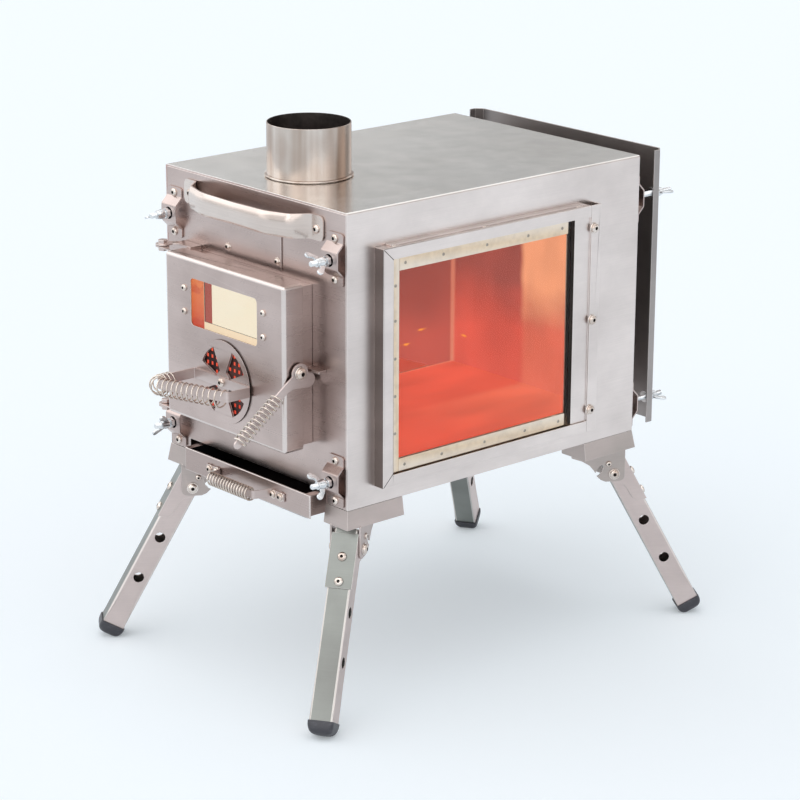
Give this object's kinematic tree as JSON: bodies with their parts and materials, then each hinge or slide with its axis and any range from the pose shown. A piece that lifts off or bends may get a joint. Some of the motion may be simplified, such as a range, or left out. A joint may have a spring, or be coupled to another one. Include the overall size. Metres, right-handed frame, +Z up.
{
  "type": "tent wood stove",
  "caption": "Folding-leg wood stove of stainless sheet with a hinged glazed door, rotary air damper, side windows, ash drawer, flue collar and rear heat shield",
  "frame": {"origin": "middle of the rectangle of ground under the stove, at ground level", "axes": "+X to the right as seen from the door, +Y from the door to the back, +Z up; the door faces -Y"},
  "size_m": [0.4084, 0.6078, 0.5918],
  "materials": {
    "steel": "brushed stainless, slightly warm",
    "leg_steel": "brushed stainless tube",
    "bright_steel": "bright drawn stainless",
    "zinc": "bright zinc plate",
    "dark_steel": "dark satin sheet",
    "pierced_steel": "pierced stainless plate",
    "glass": "clear heat-proof ceramic glass",
    "cap": "dark matt rubber"
  },
  "bodies": {
    "root": {"body_wrap": "steel", "front_panel": "steel", "back_panel": "steel", "firebox_floor": "steel", "flue_collar": "steel", "carry_handle": "bright_steel", "badge_plate": "steel", "door_frame": "steel", "window_frame_right": "steel", "window_frame_left": "steel", "window_glass_right": "glass", "window_glass_left": "glass", "window_clamp_right": "steel", "window_clamp_left": "steel", "stud_front_upper_right": "steel", "stud_front_upper_left": "steel", "stud_front_lower_right": "steel", "stud_front_lower_left": "steel", "stud_rear_upper_right": "steel", "stud_rear_upper_left": "steel", "stud_rear_lower_right": "steel", "stud_rear_lower_left": "steel", "heat_shield": "dark_steel", "leg_bracket_front_right": "steel", "leg_bracket_front_left": "steel", "leg_bracket_rear_right": "steel", "leg_bracket_rear_left": "steel"},
    "door": {"door_pan": "steel", "door_liner": "steel", "door_glass": "glass", "air_mesh_plate": "pierced_steel", "latch_screw": "bright_steel"},
    "damper": {"damper_disc": "steel", "damper_spring": "bright_steel"},
    "latch": {"latch_lever": "steel", "latch_spring": "bright_steel"},
    "drawer": {"ash_drawer": "steel", "drawer_handle": "steel", "drawer_spring": "bright_steel"},
    "leg_front_right": {"leg_tube_front_right": "leg_steel", "leg_channel_front_right": "leg_steel", "foot_cap_front_right": "cap"},
    "leg_front_left": {"leg_tube_front_left": "leg_steel", "leg_channel_front_left": "leg_steel", "foot_cap_front_left": "cap"},
    "leg_rear_right": {"leg_tube_rear_right": "leg_steel", "leg_channel_rear_right": "leg_steel", "foot_cap_rear_right": "cap"},
    "leg_rear_left": {"leg_tube_rear_left": "leg_steel", "leg_channel_rear_left": "leg_steel", "foot_cap_rear_left": "cap"},
    "wing_front_upper_right": {"wing_nut_front_upper_right": "zinc"},
    "wing_front_upper_left": {"wing_nut_front_upper_left": "zinc"},
    "wing_front_lower_right": {"wing_nut_front_lower_right": "zinc"},
    "wing_front_lower_left": {"wing_nut_front_lower_left": "zinc"},
    "wing_rear_upper_right": {"wing_nut_rear_upper_right": "zinc"},
    "wing_rear_upper_left": {"wing_nut_rear_upper_left": "zinc"},
    "wing_rear_lower_right": {"wing_nut_rear_lower_right": "zinc"},
    "wing_rear_lower_left": {"wing_nut_rear_lower_left": "zinc"}
  },
  "joints": [
    {"name": "door_swing", "type": "hinge", "parent": "root", "child": "door", "pos_m": [-0.121, -0.22214, 0.36641], "axis": [0, 0, -1], "range_deg": [0, 120]},
    {"name": "latch_lift", "type": "hinge", "parent": "door", "child": "latch", "pos_m": [0.1022, -0.21814, 0.36241], "axis": [-1, 0, 0], "range_deg": [0, 75]},
    {"name": "damper_turn", "type": "hinge", "parent": "door", "child": "damper", "pos_m": [0, -0.23714, 0.33341], "axis": [0, 1, 0], "range_deg": [0, 45]},
    {"name": "drawer_slide", "type": "slide", "parent": "root", "child": "drawer", "axis": [0, -1, 0], "range_m": [0, 0.24]},
    {"name": "leg_fold_front_right", "type": "hinge", "parent": "root", "child": "leg_front_right", "pos_m": [0.134, -0.18028, 0.17401], "axis": [0.8364, 0.5481, 0], "range_deg": [0, 118]},
    {"name": "leg_fold_front_left", "type": "hinge", "parent": "root", "child": "leg_front_left", "pos_m": [-0.134, -0.18028, 0.17401], "axis": [0.8364, -0.5481, 0], "range_deg": [0, 118]},
    {"name": "leg_fold_rear_right", "type": "hinge", "parent": "root", "child": "leg_rear_right", "pos_m": [0.134, 0.207, 0.17401], "axis": [-0.8364, 0.5481, 0], "range_deg": [0, 118]},
    {"name": "leg_fold_rear_left", "type": "hinge", "parent": "root", "child": "leg_rear_left", "pos_m": [-0.134, 0.207, 0.17401], "axis": [-0.8364, -0.5481, 0], "range_deg": [0, 118]},
    {"name": "wing_spin_front_upper_right", "type": "hinge", "parent": "root", "child": "wing_front_upper_right", "pos_m": [0.133, -0.21714, 0.48491], "axis": [0, -1, 0], "continuous": true},
    {"name": "wing_spin_front_upper_left", "type": "hinge", "parent": "root", "child": "wing_front_upper_left", "pos_m": [-0.133, -0.21714, 0.48491], "axis": [0, -1, 0], "continuous": true},
    {"name": "wing_spin_front_lower_right", "type": "hinge", "parent": "root", "child": "wing_front_lower_right", "pos_m": [0.133, -0.21714, 0.25041], "axis": [0, -1, 0], "continuous": true},
    {"name": "wing_spin_front_lower_left", "type": "hinge", "parent": "root", "child": "wing_front_lower_left", "pos_m": [-0.133, -0.21714, 0.25041], "axis": [0, -1, 0], "continuous": true},
    {"name": "wing_spin_rear_upper_right", "type": "hinge", "parent": "root", "child": "wing_rear_upper_right", "pos_m": [0.1365, 0.26686, 0.48491], "axis": [0, 1, 0], "continuous": true},
    {"name": "wing_spin_rear_upper_left", "type": "hinge", "parent": "root", "child": "wing_rear_upper_left", "pos_m": [-0.1365, 0.26686, 0.48491], "axis": [0, 1, 0], "continuous": true},
    {"name": "wing_spin_rear_lower_right", "type": "hinge", "parent": "root", "child": "wing_rear_lower_right", "pos_m": [0.1365, 0.26686, 0.25041], "axis": [0, 1, 0], "continuous": true},
    {"name": "wing_spin_rear_lower_left", "type": "hinge", "parent": "root", "child": "wing_rear_lower_left", "pos_m": [-0.1365, 0.26686, 0.25041], "axis": [0, 1, 0], "continuous": true}
  ]
}
